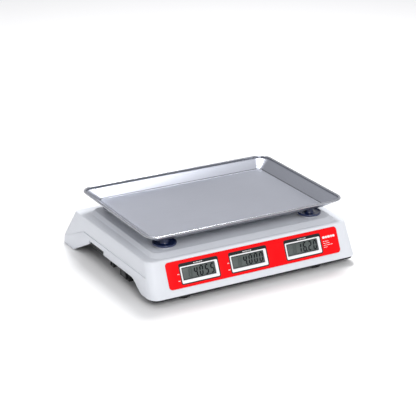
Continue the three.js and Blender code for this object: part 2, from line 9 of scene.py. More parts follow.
import bmesh
import bpy
from mathutils import Matrix, Vector

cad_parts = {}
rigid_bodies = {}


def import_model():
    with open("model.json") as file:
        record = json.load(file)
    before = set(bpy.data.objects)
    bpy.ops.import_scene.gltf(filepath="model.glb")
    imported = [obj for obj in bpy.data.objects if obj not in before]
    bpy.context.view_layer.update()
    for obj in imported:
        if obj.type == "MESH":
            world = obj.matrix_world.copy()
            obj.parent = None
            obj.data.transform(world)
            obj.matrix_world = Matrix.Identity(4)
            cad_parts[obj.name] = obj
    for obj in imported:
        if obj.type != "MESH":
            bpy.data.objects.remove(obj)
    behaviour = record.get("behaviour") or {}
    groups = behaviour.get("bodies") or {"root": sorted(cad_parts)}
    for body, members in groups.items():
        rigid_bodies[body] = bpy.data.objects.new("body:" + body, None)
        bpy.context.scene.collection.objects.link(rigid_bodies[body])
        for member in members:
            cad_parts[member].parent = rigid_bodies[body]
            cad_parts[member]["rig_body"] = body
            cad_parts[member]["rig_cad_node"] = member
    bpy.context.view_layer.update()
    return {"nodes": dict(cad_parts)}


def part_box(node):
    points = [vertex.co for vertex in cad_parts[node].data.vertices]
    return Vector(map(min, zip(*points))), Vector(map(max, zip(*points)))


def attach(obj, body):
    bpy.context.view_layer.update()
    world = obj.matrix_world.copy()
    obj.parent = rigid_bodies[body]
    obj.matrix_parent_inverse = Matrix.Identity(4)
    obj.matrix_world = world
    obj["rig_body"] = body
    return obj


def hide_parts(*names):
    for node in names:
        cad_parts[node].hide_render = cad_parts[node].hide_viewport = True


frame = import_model()

# ------ sizes, in millimetres
MM = 0.001
WALL = 2.5
HALF_DEPTH = 150
SKIRT_Z = 13
FAR_SKIRT_Z = 1
TOP_Z = 63.4
FRONT_LEAN = math.radians(24.4)
PANEL_Z = 12
PANEL_LEAN = math.radians(35.7)
HALF_WIDTH = 174
SIDE_DRAFT = 0.079
SIDE_FLARE = 0.013
FRONT_RADIUS = 13
BACK_RADIUS = 9
MIN_RADIUS = 2
TOP_SOFTEN = 2.0
BAND_STEP = 0.9
BAND_TUCK = 3
EDGE = 0.35
CORNER_STEPS = 10

PLATEAU = {"front": -113, "back": 93, "half": 152, "rise": 5, "slope_front": 10, "slope_side": 5,
           "radius": 12, "soften": 0.7, "root": 2}
ARCH = {"z": 28, "front": -120, "front_top": -83, "back": 56, "back_foot": 108, "past": 190, "under": -60}
NOTCH = {"front": 6, "back": 56, "low": 18, "z": 33.5, "outer": -210, "inner": -144}
BAND = {"z": 40.5, "bend": 76, "end": 147, "end_z": 10, "past": 170, "past_z": 2, "under": -10}
GROOVE = {"depth": 0.45, "width": 0.9, "grow": 1.5, "under": 0.5, "end": 135, "end_z": (12, 14.2), "past": 9,
          "outer_z": (4, PANEL_Z, 43.5), "inner_z": (1, PANEL_Z, 46.5)}
SIDE_REACH = 220
CUT_LOW = 55.4
CUT_HIGH = 80
CORNERS = ("front_left", "front_right", "back_left", "back_right")
POST_HOLE = 9
COLLAR = {"radius": 12.5, "top": 70.2, "edge": 0.5}
LEVEL_AT = (0, -62)
LEVEL_RADIUS = 8

LABEL_RECESS = 0.8
GAP = 0.3
FACE_CUT = 4
FILM = 0.5
LABEL_ROUND = 5
CUSTOMER_LABEL = {"left": -143.5, "right": 147.5, "low": 10.6, "high": 50.2}
OPERATOR_LABEL = {"left": -158, "right": 158, "low": 4.5, "high": 60}
WINDOW_HALF = 30.7
WINDOW_HEIGHT = 24.7
WINDOW_ROUND = 1.6
GLASS_LEFT = 27.9
GLASS_RIGHT = 26.3
GLASS_RISE = 4.7
GLASS_HEIGHT = 18
GLASS_DEPTH = 1.5
GLASS_ROUND = 0.8
OUTLINE = 1.6
TAG_HEIGHT = 4.7
INK = 0.04
INK_LOW = 0.01
CUSTOMER_WINDOWS = {"places": (-91, -9, 85.2), "low": 16, "readings": ("4.055", "4.000", "16.20")}
OPERATOR_WINDOWS = {"places": (-100, -18, 64), "low": 33.5, "readings": ("4.055", "4.000", "16.20")}
DIGIT = {"width": 6.2, "height": 14.6, "bar": 2.0, "pitch": 9, "gap": 0.16, "slant": 0.1, "end": 5.6}
POINT = 1.8
SEGMENTS = {"0": "abcdef", "1": "bc", "2": "abged", "4": "fgbc", "5": "afgcd", "6": "afgedc", "8": "abcdefg"}

KEY = {"pitch": 19.6, "first": -88.2, "rows": (11.2, 24), "width": 16.4, "height": 9.6, "stand": 1.9,
       "round": 1.6, "play": 0.5, "label_play": 0.4, "legend": 5.4}
KEY_LEGENDS = (
    (".", "00", "+", "-", "x", "=", "%", "<", ">", "#"),
    ("1", "2", "3", "4", "5", "6", "7", "8", "9", "0"),
)
TRAY = {"hem": 1.7, "run": 21.5, "sheet": 1.0}
CAP = {"boss": 6.2, "bore": 3.2, "rim": 3.2, "pin_depth": 7}
WHEEL = {"thick": 3.7, "knurls": 30, "radius": 13.8, "thread": 3.95, "root": 3.4, "pitch": 1.25}


def front_y(z):
    return -HALF_DEPTH + (z - SKIRT_Z) * math.tan(FRONT_LEAN)


def back_y(z):
    return HALF_DEPTH - max(0, z - PANEL_Z) * math.tan(PANEL_LEAN)


def half_width(y, z):
    return HALF_WIDTH + SIDE_FLARE * (y + HALF_DEPTH) - SIDE_DRAFT * (z - SKIRT_Z)


CUSTOMER_FACE = (Matrix.Translation((0, -HALF_DEPTH, SKIRT_Z))
                 @ Matrix.Rotation(math.pi / 2 - FRONT_LEAN, 4, "X"))
OPERATOR_FACE = (Matrix.Translation((0, HALF_DEPTH, PANEL_Z)) @ Matrix.Rotation(math.pi, 4, "Z")
                 @ Matrix.Rotation(math.pi / 2 - PANEL_LEAN, 4, "X"))
SIDEWAYS = Matrix(((0, 0, 1, 0), (1, 0, 0, 0), (0, 1, 0, 0), (0, 0, 0, 1)))


# ------ hand tools
def settle():
    """Object mode, with nothing selected."""
    if bpy.context.object and bpy.context.object.mode == "EDIT":
        bpy.ops.object.mode_set(mode="OBJECT")
    bpy.ops.object.select_all(action="DESELECT")


def hold(piece):
    """Makes a piece the only one selected, and the active one."""
    settle()
    piece.select_set(True)
    bpy.context.view_layer.objects.active = piece


def pick(piece, kind, passes):
    """Selects the vertices, edges or faces that pass a test, in edit mode."""
    bpy.ops.mesh.select_mode(type=kind)
    bpy.ops.mesh.select_all(action="DESELECT")
    mesh = bmesh.from_edit_mesh(piece.data)
    for part in {"VERT": mesh.verts, "EDGE": mesh.edges, "FACE": mesh.faces}[kind]:
        if passes(part):
            part.select_set(True)
    mesh.select_flush_mode()
    bmesh.update_edit_mesh(piece.data)


def close(piece, merge=0.0):
    """Ends the edit of a solid with its faces turned outwards."""
    bpy.ops.mesh.select_all(action="SELECT")
    if merge:
        bpy.ops.mesh.remove_doubles(threshold=merge)
    bpy.ops.mesh.normals_make_consistent(inside=False)
    settle()
    return piece


def moved(piece, matrix):
    """Takes a piece to its place and leaves the place in its mesh."""
    hold(piece)
    piece.matrix_world = matrix
    bpy.ops.object.transform_apply(location=True, rotation=True, scale=True)
    return piece


def shifted(piece, x, y, z=0):
    return moved(piece, Matrix.Translation((x, y, z)))


def copy_of(piece):
    hold(piece)
    bpy.ops.object.duplicate(linked=False)
    return bpy.context.object


def discard(*pieces):
    for piece in pieces:
        bpy.data.objects.remove(piece)


def joined(pieces):
    """Several solids as one object."""
    if len(pieces) == 1:
        return pieces[0]
    settle()
    for piece in pieces:
        piece.select_set(True)
    bpy.context.view_layer.objects.active = pieces[0]
    bpy.ops.object.join()
    return pieces[0]


def combine(piece, tools, operation="DIFFERENCE"):
    """Cuts tools out of a piece, or joins them into it, and uses the tools up."""
    tool = joined(tools)
    modifier = piece.modifiers.new("combine", "BOOLEAN")
    modifier.operation = operation
    modifier.solver = "EXACT"
    modifier.object = tool
    hold(piece)
    bpy.ops.object.modifier_apply(modifier=modifier.name)
    discard(tool)
    return piece


def soften(piece, width, segments=2, angle=30, clamp=True):
    """Rounds the edges that are sharper than the angle."""
    modifier = piece.modifiers.new("soften", "BEVEL")
    modifier.width = width
    modifier.segments = segments
    modifier.limit_method = "ANGLE"
    modifier.angle_limit = math.radians(angle)
    modifier.use_clamp_overlap = clamp
    hold(piece)
    bpy.ops.object.modifier_apply(modifier=modifier.name)
    return piece


def start_vertex(x, y, z):
    """A new piece in edit mode that is one selected vertex."""
    settle()
    bpy.ops.mesh.primitive_plane_add(size=1)
    piece = bpy.context.object
    bpy.ops.object.mode_set(mode="EDIT")
    bpy.ops.mesh.select_mode(type="VERT")
    bpy.ops.mesh.merge(type="CENTER")
    bpy.ops.transform.translate(value=(x, y, z))
    return piece


def draw_on(points):
    """Draws on from the selected vertex, point to point."""
    for here, there in zip(points, points[1:]):
        step = Vector(there) - Vector(here)
        bpy.ops.mesh.extrude_vertices_move(TRANSFORM_OT_translate={"value": step})


def prism(outline, low, high):
    """A solid between two heights with an outline of (x, y) points."""
    points = [(x, y, low) for x, y in outline]
    piece = start_vertex(*points[0])
    draw_on(points)
    bpy.ops.mesh.select_all(action="SELECT")
    bpy.ops.mesh.edge_face_add()
    bpy.ops.mesh.extrude_region_move(TRANSFORM_OT_translate={"value": (0, 0, high - low)})
    return close(piece)


def turned(profile, steps=40):
    """A solid turned about Z from (radius, height) points that start and end on the axis, or meet."""
    points = [(radius, 0, height) for radius, height in profile]
    piece = start_vertex(*points[0])
    draw_on(points)
    bpy.ops.mesh.select_all(action="SELECT")
    bpy.ops.mesh.spin(steps=steps, angle=2 * math.pi, center=(0, 0, 0), axis=(0, 0, 1))
    return close(piece, merge=0.002)


def curve(a, b, c, d, steps):
    """Points of a Bezier curve."""
    points = []
    for i in range(steps + 1):
        t = i / steps
        weights = ((1 - t) ** 3, 3 * t * (1 - t) ** 2, 3 * t * t * (1 - t), t ** 3)
        points.append(tuple(sum(w * p[k] for w, p in zip(weights, (a, b, c, d))) for k in (0, 1)))
    return points


def across(outline):
    """A solid drawn in (y, z) that runs along X past both sides of the body."""
    return moved(prism(outline, -SIDE_REACH, SIDE_REACH), SIDEWAYS)


def ring(z, front, back, half, radius, half_back=None, radius_back=None):
    """One rounded outline of a stack, at height z."""
    return {
        "z": z,
        "ends": {-1: front, 1: back},
        "half": {-1: half, 1: half_back or half},
        "radius": {-1: radius, 1: radius_back or radius},
    }


def corner_centre(outline, side, end):
    radius = outline["radius"][end]
    return Vector((side * (outline["half"][end] - radius), outline["ends"][end] - end * radius, 0))


def stack(rings, steps=8):
    """Draws a rounded outline up through a stack of them; each straddles both axes."""
    quarters = [(side, end) for side in (-1, 1) for end in (-1, 1)]
    first = rings[0]
    settle()
    bpy.ops.mesh.primitive_plane_add(size=2)
    piece = bpy.context.object
    bpy.ops.object.mode_set(mode="EDIT")
    for side, end in quarters:
        pick(piece, "VERT", lambda v: v.co.x * side > 0 and v.co.y * end > 0)
        corner = (side * (first["half"][end] - 1), first["ends"][end] - end, first["z"])
        bpy.ops.transform.translate(value=corner)
    for end in (-1, 1):
        pick(piece, "VERT", lambda v: v.co.y * end > 0)
        bpy.ops.mesh.bevel(offset=first["radius"][end], segments=steps, affect="VERTICES")
    bpy.ops.mesh.select_all(action="SELECT")
    for lower, upper in zip(rings, rings[1:]):
        rise = (0, 0, upper["z"] - lower["z"])
        bpy.ops.mesh.extrude_region_move(TRANSFORM_OT_translate={"value": rise})
        mesh = bmesh.from_edit_mesh(piece.data)
        mesh.verts.index_update()
        moving = {v.index for v in mesh.verts if v.select}
        for side, end in quarters:
            pick(piece, "VERT", lambda v: v.index in moving and v.co.x * side > 0 and v.co.y * end > 0)
            grow = upper["radius"][end] / lower["radius"][end]
            old = corner_centre(lower, side, end)
            new = corner_centre(upper, side, end)
            bpy.ops.transform.resize(value=(grow, grow, 1), center_override=old)
            bpy.ops.transform.translate(value=new - old)
        pick(piece, "VERT", lambda v: v.index in moving)
    return close(piece)


def slab(left, right, low, high, radius, bottom, top, steps=6):
    """A flat plate with rounded corners, from bottom to top."""
    half_x = (right - left) / 2
    half_y = (high - low) / 2
    flat = [ring(z, -half_y, half_y, half_x, radius) for z in (bottom, top)]
    return shifted(stack(flat, steps), left + half_x, low + half_y)


def block(low, high):
    """A box between two corners, with its edges still to be softened."""
    low = Vector(low)
    high = Vector(high)
    settle()
    bpy.ops.mesh.primitive_cube_add(size=1, location=(low + high) / 2, scale=high - low)
    bpy.ops.object.transform_apply(location=True, rotation=True, scale=True)
    return bpy.context.object


def refined(node, softness=0.3, segments=2):
    """A merged copy of a CAD node in millimetres, with its edges softened."""
    piece = copy_of_node(node)
    bpy.ops.object.mode_set(mode="EDIT")
    bpy.ops.mesh.select_all(action="SELECT")
    bpy.ops.mesh.remove_doubles(threshold=0.00001)
    bpy.ops.mesh.dissolve_limited(angle_limit=math.radians(1))
    settle()
    moved(piece, Matrix.Scale(1 / MM, 4))
    return soften(piece, softness, segments, 35)


def copy_of_node(node):
    """A free copy of a CAD node's object and mesh."""
    source = frame["nodes"][node]
    hold(source)
    bpy.ops.object.duplicate(linked=False)
    piece = bpy.context.object
    piece.parent = None
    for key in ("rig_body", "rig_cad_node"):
        del piece[key]
    hold(piece)
    return piece


def box_mm(node):
    """A CAD node's lowest and highest corner, in millimetres."""
    low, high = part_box(node)
    return low / MM, high / MM


def centre_mm(node):
    low, high = box_mm(node)
    return (low + high) / 2


def finish(piece, name, look, body, slot, *nodes, smooth=35):
    """Brings a piece to metres, gives it its name and finish, and seats it on its body."""
    moved(piece, Matrix.Scale(MM, 4))
    hold(piece)
    bpy.ops.object.shade_smooth_by_angle(angle=math.radians(smooth))
    piece.name = name
    piece.data.name = name
    piece.data.materials.clear()
    piece.data.materials.append(look)
    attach(piece, body)
    if nodes:
        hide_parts(*nodes)
    return piece


# ------ finishes
def paint(red, green, blue):
    """A colour given as it looks on a screen, 0 to 255, as the shader wants it."""
    linear = []
    for level in (red / 255, green / 255, blue / 255):
        linear.append(level / 12.92 if level < 0.04045 else ((level + 0.055) / 1.055) ** 2.4)
    return (*linear, 1)


class Value:
    """A shader socket; arithmetic on it adds its Math nodes."""

    def __init__(self, look, socket):
        self.look = look
        self.socket = socket

    def math(self, operation, *terms):
        return self.look.node("ShaderNodeMath", {"operation": operation}, dict(enumerate(terms)))

    def __add__(self, other):
        return self.math("ADD", self, other)

    def __sub__(self, other):
        return self.math("SUBTRACT", self, other)

    def __rsub__(self, other):
        return self.math("SUBTRACT", other, self)

    def __mul__(self, other):
        return self.math("MULTIPLY", self, other)

    def __truediv__(self, other):
        return self.math("DIVIDE", self, other)

    def over(self, level):
        return self.math("GREATER_THAN", self, level)

    def under(self, level):
        return self.math("LESS_THAN", self, level)

    def size(self):
        return self.math("ABSOLUTE", self)

    def wrapped(self, period):
        return self.math("MODULO", self, period)

    __radd__ = __add__
    __rmul__ = __mul__


class Look:
    """One procedural finish: its nodes, the place on the piece, and its surface shader."""

    def __init__(self, name, **surface):
        self.material = bpy.data.materials.new(name)
        self.material.use_nodes = True
        self.tree = self.material.node_tree
        self.shader = self.tree.nodes["Principled BSDF"]
        self.place = self.node("ShaderNodeTexCoord", output="Object")
        for socket, value in surface.items():
            self.shader.inputs[socket.replace("_", " ").title().replace("Ior", "IOR")].default_value = value

    def node(self, kind, settings=None, inputs=None, output=0):
        """Any node: settings first, then the values or links of its sockets."""
        made = self.tree.nodes.new(kind)
        for name, value in (settings or {}).items():
            setattr(made, name, value)
        for key, value in (inputs or {}).items():
            self.feed(made.inputs[key], value)
        return Value(self, made.outputs[output])

    def feed(self, socket, value):
        if isinstance(value, Value):
            self.tree.links.new(value.socket, socket)
        else:
            socket.default_value = value

    def noise(self, size, detail=2, stretch=(1, 1, 1)):
        """Noise with blobs about size millimetres across, longer where stretch is larger."""
        scale = tuple(1 / (size * MM * s) for s in stretch)
        spread = self.node("ShaderNodeVectorMath", {"operation": "MULTIPLY"}, {0: self.place, 1: scale})
        return self.node("ShaderNodeTexNoise", None, {"Vector": spread, "Scale": 1, "Detail": detail})

    def between(self, share, first, second):
        """A colour between two, by the share from 0 to 1."""
        return self.node("ShaderNodeMix", {"data_type": "RGBA"}, {0: share, 6: first, 7: second}, 2)

    def axes(self):
        """The place's x, y and z as three values."""
        split = self.tree.nodes.new("ShaderNodeSeparateXYZ")
        self.feed(split.inputs[0], self.place)
        return [Value(self, socket) for socket in split.outputs]

    def show(self, colour=None, roughness=None, height=None, depth=0.02):
        """Feeds the surface; height is a relief of the given depth in millimetres."""
        if colour is not None:
            self.feed(self.shader.inputs["Base Color"], colour)
        if roughness is not None:
            self.feed(self.shader.inputs["Roughness"], roughness)
        if height is not None:
            sockets = {"Strength": 1, "Distance": depth * MM, "Height": height}
            relief = self.node("ShaderNodeBump", None, sockets)
            self.feed(self.shader.inputs["Normal"], relief)
        return self.material


def moulded_white():
    """White ABS with a fine spark-eroded grain and a faint unevenness of tone."""
    look = Look("moulded_white", specular_ior_level=0.35)
    tone = look.noise(60, 3)
    grain = look.noise(0.45, 3)
    colour = look.between(tone, paint(222, 225, 230), paint(217, 220, 226))
    return look.show(colour, 0.4 + grain * 0.12, grain, 0.012)


def moulded_black(name, shade=(26, 27, 30), rough=0.5):
    """Black ABS with a leather-like mould texture and paler dusty patches."""
    look = Look(name, specular_ior_level=0.25)
    dust = look.noise(18, 4)
    grain = look.noise(0.7, 2)
    pale = tuple(min(255, c + 16) for c in shade)
    colour = look.between(dust, paint(*shade), paint(*pale))
    return look.show(colour, rough + dust * 0.15, grain, 0.03)


def printed_film(name, colour, other):
    """Screen-printed polycarbonate film with a light matt tooth under its gloss."""
    look = Look(name, specular_ior_level=0.14)
    tone = look.noise(25, 2)
    tooth = look.noise(0.3, 2)
    return look.show(look.between(tone, colour, other), 0.36 + tooth * 0.1, tooth, 0.006)


def ink(name, colour, gloss=0.4):
    """A dense layer of printing ink, slightly uneven where the screen left it."""
    look = Look(name, specular_ior_level=gloss)
    grain = look.noise(0.25, 2)
    darker = tuple(c * 0.86 for c in colour[:3]) + (1,)
    return look.show(look.between(grain, colour, darker), 0.42 + grain * 0.1, grain, 0.003)


def display_glass():
    """The grey-green cell of a display under polished glass, a little uneven in tone."""
    look = Look("display_glass", coat_weight=0.6, coat_roughness=0.04, specular_ior_level=0.5)
    tone = look.noise(22, 2)
    weave = look.noise(0.22, 1)
    colour = look.between(tone * 0.8 + weave * 0.2, paint(86, 94, 90), paint(70, 77, 77))
    return look.show(colour, 0.22 + weave * 0.08, weave, 0.001)


def rating_plate_silver():
    """A thin aluminium plate with fine brush lines and a slow drift of tone."""
    look = Look("rating_plate_silver", metallic=1)
    lines = look.noise(0.3, 4, (30, 1, 1))
    drift = look.noise(70, 2)
    colour = look.between(lines * 0.6 + drift * 0.4, paint(205, 207, 210), paint(188, 190, 194))
    return look.show(colour, 0.3 + lines * 0.14, lines, 0.004)


def tray_steel():
    """Brushed stainless sheet with a polished rim and fine scuffs, and painted shade in a darker, rougher
    band along the crease round its floor.
    """
    look = Look("brushed_tray_steel", metallic=1)
    low, high = box_mm("tray")
    _, _, z = look.axes()
    height = z / MM
    rim = height.over(high.z - 3.6)
    # The band along the crease round the floor, where shade is painted in and the steel is made rougher.
    crease = height.over(low.z + 1.15) * height.under(low.z + 2.1)
    lines = look.noise(0.35, 3, (90, 1, 1))
    drift = look.noise(80, 2)
    scuffs = look.noise(1.4, 1, (26, 1, 1)).over(0.7)
    brushed = look.between(lines * 0.45 + drift * 0.4, paint(176, 179, 188), paint(158, 161, 171))
    # Painted shade: the steel's colour is darkened along the crease band.
    crease_shaded = look.between(crease, brushed, paint(96, 98, 104))
    colour = look.between(rim, crease_shaded, paint(182, 184, 190))
    roughness = 0.26 + lines * 0.1 + scuffs * 0.06 - rim * 0.06 + crease * 0.25
    return look.show(colour, roughness, lines * (1 - rim), 0.003)


def plated_zinc():
    """Passivated zinc plate, cloudy, with a trace of blue and straw."""
    look = Look("plated_zinc", metallic=0.9)
    cloud = look.noise(9, 4)
    grain = look.noise(0.5, 2)
    colour = look.between(cloud, paint(176, 180, 190), paint(186, 184, 172))
    return look.show(colour, 0.3 + cloud * 0.2, grain, 0.01)


def milled_alloy():
    """A milled aluminium bar with close cutter lines."""
    look = Look("milled_alloy", metallic=1)
    lines = look.noise(0.6, 3, (1, 60, 60))
    colour = look.between(lines, paint(198, 201, 206), paint(176, 179, 185))
    return look.show(colour, 0.3 + lines * 0.2, lines, 0.01)


def blue_nylon():
    """Dark blue nylon, polished by the tool, with faint flow marks."""
    look = Look("blue_nylon", coat_weight=0.3, coat_roughness=0.12, specular_ior_level=0.55)
    flow = look.noise(5, 3)
    grain = look.noise(0.4, 2)
    colour = look.between(flow, paint(14, 36, 84), paint(10, 26, 66))
    return look.show(colour, 0.26 + flow * 0.1, grain, 0.006)


def foot_rubber():
    """Moulded rubber, matt, with bloom."""
    look = Look("foot_rubber", specular_ior_level=0.3)
    bloom = look.noise(4, 4)
    grain = look.noise(0.5, 3)
    colour = look.between(bloom, paint(28, 28, 30), paint(52, 52, 54))
    return look.show(colour, 0.75 + grain * 0.15, grain, 0.04)


def key_cap():
    """Pale grey moulded keys, a little glossier where fingers press."""
    look = Look("key_cap", specular_ior_level=0.45)
    worn = look.noise(7, 2)
    grain = look.noise(0.35, 2)
    colour = look.between(worn, paint(226, 228, 231), paint(214, 217, 221))
    return look.show(colour, 0.34 + worn * 0.14, grain, 0.01)


def circuit_board():
    """Green solder mask over a grid of tracks."""
    look = Look("circuit_board", coat_weight=0.3, coat_roughness=0.2)
    x, y, z = look.axes()
    across = (x / MM).wrapped(2.6).size().under(0.7)
    along = ((y + z) / MM).wrapped(3.4).size().under(0.8)
    broken = look.noise(9, 2).over(0.5)
    tracks = across * broken + along * (1 - broken)
    colour = look.between(tracks, paint(18, 74, 42), paint(40, 112, 66))
    return look.show(colour, 0.35, tracks, 0.03)


def battery_shell():
    """Dark grey battery case, finely ribbed."""
    look = Look("battery_shell", specular_ior_level=0.4)
    tone = look.noise(14, 3)
    grain = look.noise(0.6, 2)
    return look.show(look.between(tone, paint(54, 57, 64), paint(66, 69, 76)), 0.45 + tone * 0.1, grain, 0.02)


def level_liquid():
    """Yellow-green spirit seen through clear plastic."""
    look = Look("level_liquid", coat_weight=1, coat_roughness=0.03)
    depth = look.noise(3, 1)
    return look.show(look.between(depth, paint(184, 208, 66), paint(160, 190, 48)), 0.12 + depth * 0.05)


LOOKS = {
    "white": moulded_white(),
    "frame": ink("window_frame_white", paint(250, 251, 252)),
    "pan": moulded_black("moulded_black"),
    "switch": moulded_black("switch_black", (22, 23, 25), 0.32),
    "film": printed_film("red_film", paint(250, 6, 16), paint(242, 4, 14)),
    "black_ink": ink("black_ink", paint(14, 20, 22)),
    "white_ink": ink("white_ink", paint(248, 244, 244)),
    "glass": display_glass(),
    "digit": ink("display_digit", paint(8, 10, 16), 0.1),
    "idle": ink("display_idle_digit", paint(74, 81, 79), 0.2),
    "tray": tray_steel(),
    "zinc": plated_zinc(),
    "alloy": milled_alloy(),
    "blue": blue_nylon(),
    "rubber": foot_rubber(),
    "screw": moulded_black("knurled_black", (30, 31, 33), 0.4),
    "key": key_cap(),
    "board": circuit_board(),
    "battery": battery_shell(),
    "liquid": level_liquid(),
    "plate": rating_plate_silver(),
}


# ------ top housing
def body_ring(z, inset=0):
    front = front_y(z) + inset
    back = back_y(z) - inset
    return ring(z, front, back, half_width(front, z) - inset, max(FRONT_RADIUS - inset, MIN_RADIUS),
                half_width(back, z) - inset, max(BACK_RADIUS - inset, MIN_RADIUS))


def band_ring(z):
    """The body's outline with its sides moved out and its ends drawn in, so that it fades at the corners."""
    front = front_y(z)
    back = back_y(z)
    return ring(z, front + BAND_TUCK, back - BAND_TUCK, half_width(front, z) + BAND_STEP, FRONT_RADIUS,
                half_width(back, z) + BAND_STEP, BACK_RADIUS)


def plateau_rings(low, inset=0):
    """The raised table under the tray: a straight root, then sloping sides."""
    p = PLATEAU
    wide = (p["front"] - p["slope_front"] + inset, p["back"] + p["slope_side"] - inset,
            p["half"] + p["slope_side"] - inset, p["radius"] + p["slope_side"] - inset)
    narrow = (p["front"] + inset, p["back"] - inset, p["half"] - inset, p["radius"] - inset)
    return [ring(low, *wide), ring(TOP_Z - inset, *wide), ring(TOP_Z + p["rise"] - inset, *narrow)]


def under_outline():
    """What lies under the skirt, in (y, z): level, a soft climb, the arch, and the ramp at the back."""
    past = ARCH["past"]
    under = ARCH["under"]
    climb = curve((ARCH["front"], SKIRT_Z), (ARCH["front"] + 14, SKIRT_Z + 2),
                  (ARCH["front_top"] - 12, ARCH["z"]), (ARCH["front_top"], ARCH["z"]), 14)
    return [(-past, under), (-past, SKIRT_Z), *climb, (ARCH["back"], ARCH["z"]),
            (ARCH["back_foot"], FAR_SKIRT_Z), (past, FAR_SKIRT_Z), (past, under)]


def band_outline():
    past = BAND["past"]
    under = BAND["under"]
    return [(-past, under), (-past, BAND["z"]), (BAND["bend"], BAND["z"]), (BAND["end"], BAND["end_z"]),
            (past, BAND["past_z"]), (past, under)]


def make_band():
    """The lower part of the side walls, which stands out a little under the character line."""
    band = stack([band_ring(z) for z in (FAR_SKIRT_Z - 1, PANEL_Z, BAND["z"] + 1)], CORNER_STEPS)
    return combine(band, [across(band_outline())], "INTERSECT")


def make_groove():
    """The fine groove that runs along the top of the band on both sides."""
    low = BAND["z"] - GROOVE["under"]
    high = BAND["z"] + GROOVE["width"]
    end = GROOVE["end"]
    end_low, end_high = GROOVE["end_z"]
    core = [body_ring(z, GROOVE["depth"]) for z in GROOVE["inner_z"]]
    for outline in core:
        outline["ends"] = {-1: -HALF_DEPTH - GROOVE["past"], 1: HALF_DEPTH + GROOVE["past"]}
    strip = [(-end, low), (BAND["bend"] - 1, low), (end, end_low), (end, end_high),
             (BAND["bend"] + GROOVE["width"], high), (-end, high)]
    groove = stack([body_ring(z, -GROOVE["grow"]) for z in GROOVE["outer_z"]], CORNER_STEPS)
    combine(groove, [stack(core, CORNER_STEPS)])
    return combine(groove, [across(strip)], "INTERSECT")


def post_places():
    return {corner: centre_mm("support_post_" + corner) for corner in CORNERS}


def key_places():
    """Name, legend and place of each key on the operator's face."""
    for row, (y, legends) in enumerate(zip(KEY["rows"], KEY_LEGENDS)):
        for column, legend in enumerate(legends):
            yield f"key_{row + 1}_{column + 1}", legend, KEY["first"] + column * KEY["pitch"], y


def key_slab(x, y, grow, low, high):
    """A slab round a key's place that is larger than the key by the same amount all round."""
    half_x = KEY["width"] / 2 + grow
    half_y = KEY["height"] / 2 + grow
    return slab(x - half_x, x + half_x, y - half_y, y + half_y, KEY["round"] + grow, low, high, 4)


def glass_slab(x, low, grow, radius, bottom, top, steps=4):
    """A slab of a display opening's outline, larger than it by the same amount all round."""
    return slab(x - GLASS_LEFT - grow, x + GLASS_RIGHT + grow, low + GLASS_RISE - grow,
                low + GLASS_RISE + GLASS_HEIGHT + grow, radius, bottom, top, steps)


def window_holes(face, windows):
    holes = [glass_slab(x, windows["low"], 0, GLASS_ROUND, -WALL - 12, 2, 3) for x in windows["places"]]
    return [moved(hole, face) for hole in holes]


def label_recess(face, label):
    sunk = slab(label["left"] - GAP, label["right"] + GAP, label["low"] - GAP,
                label["high"] + GAP, LABEL_ROUND + GAP, -LABEL_RECESS, FACE_CUT)
    return moved(sunk, face)


def bored(radius):
    """The solid that drills a round hole down through the plateau."""
    return turned([(0, CUT_LOW), (radius, CUT_LOW), (radius, CUT_HIGH), (0, CUT_HIGH)])


def collar():
    """The raised ring round a post's hole, still closed."""
    radius = COLLAR["radius"]
    top = COLLAR["top"]
    edge = COLLAR["edge"]
    foot = TOP_Z + PLATEAU["rise"] - 0.4
    return turned([(0, TOP_Z), (radius + 1, foot), (radius, top - edge), (radius - edge, top), (0, top)])


def housing_outside():
    shell = stack([body_ring(z) for z in (FAR_SKIRT_Z - 1, PANEL_Z, TOP_Z)], CORNER_STEPS)
    soften(shell, TOP_SOFTEN, 4, 20)
    combine(shell, [stack(plateau_rings(TOP_Z - PLATEAU["root"]), CORNER_STEPS)], "UNION")
    soften(shell, PLATEAU["soften"], 2, 20)
    combine(shell, [make_groove()])
    combine(shell, [make_band()], "UNION")
    return combine(shell, [shifted(collar(), place.x, place.y) for place in post_places().values()], "UNION")


def make_housing():
    shell = housing_outside()
    combine(shell, [stack([body_ring(z, WALL) for z in (-20, PANEL_Z, TOP_Z - WALL)], 6)])
    combine(shell, [stack(plateau_rings(TOP_Z - WALL - PLATEAU["root"], WALL), 6)])
    combine(shell, [across(under_outline())])
    combine(shell, [block((NOTCH["outer"], NOTCH["front"], NOTCH["low"]),
                          (NOTCH["inner"], NOTCH["back"], NOTCH["z"]))])
    combine(shell, [label_recess(CUSTOMER_FACE, CUSTOMER_LABEL), label_recess(OPERATOR_FACE, OPERATOR_LABEL)])
    holes = window_holes(CUSTOMER_FACE, CUSTOMER_WINDOWS) + window_holes(OPERATOR_FACE, OPERATOR_WINDOWS)
    for _, _, x, y in key_places():
        holes.append(moved(key_slab(x, y, KEY["play"], -WALL - 3, 2), OPERATOR_FACE))
    for place in post_places().values():
        holes.append(shifted(bored(POST_HOLE), place.x, place.y))
    holes.append(shifted(bored(LEVEL_RADIUS + GAP), *LEVEL_AT))
    combine(shell, holes)
    soften(shell, EDGE, 2, 38, clamp=False)
    finish(shell, "top_housing_shell", LOOKS["white"], "base", "housing_white", "top_housing")


# ------ labels, windows and displays
def make_label(side, face, label, windows, keys=()):
    """The red film with a hole for each window and key."""
    film = slab(label["left"], label["right"], label["low"], label["high"], LABEL_ROUND, -FILM, 0)
    low = windows["low"]
    high = low + WINDOW_HEIGHT
    holes = [slab(x - WINDOW_HALF, x + WINDOW_HALF, low, high, WINDOW_ROUND, -2, 2, 4)
             for x in windows["places"]]
    holes += [key_slab(x, y, KEY["label_play"], -2, 2) for _, _, x, y in keys]
    combine(film, holes)
    soften(film, 0.1, 2, 40, clamp=False)
    finish(moved(film, face), side + "_label_film", LOOKS["film"], "base", "label_red", side + "_label")


